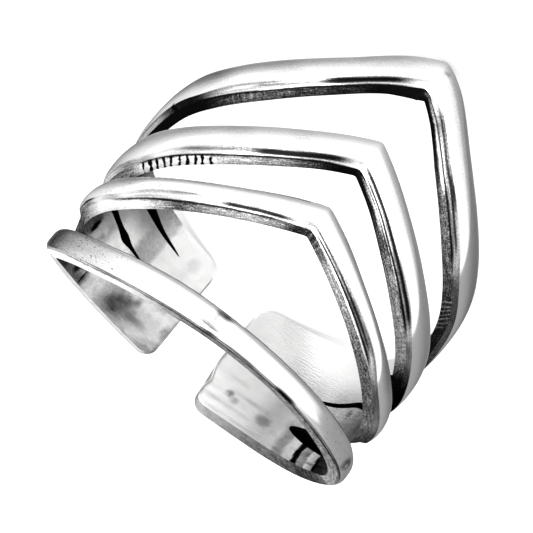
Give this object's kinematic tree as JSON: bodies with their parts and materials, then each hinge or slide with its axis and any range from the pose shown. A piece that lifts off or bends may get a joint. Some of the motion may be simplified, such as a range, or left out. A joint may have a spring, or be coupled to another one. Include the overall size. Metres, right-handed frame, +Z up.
{
  "type": "chevron ring",
  "caption": "Open silver finger ring with one plain band and nested pointed bands over the front, closing into plates that end in free tabs at the back.",
  "frame": {"origin": "middle of the ring's bounding box on the surface it lies on", "axes": "+Z up with the ring lying on its side, -Y towards the decorated front, +X to the ring's own left; the finger's axis leans back by 31.7 degrees from +Z towards +Y"},
  "size_m": [0.0192, 0.025, 0.0154],
  "materials": {
    "silver": "polished faces, dark oxidised side walls and slits"
  },
  "bodies": {
    "root": {"ring_band": "silver"}
  },
  "joints": []
}
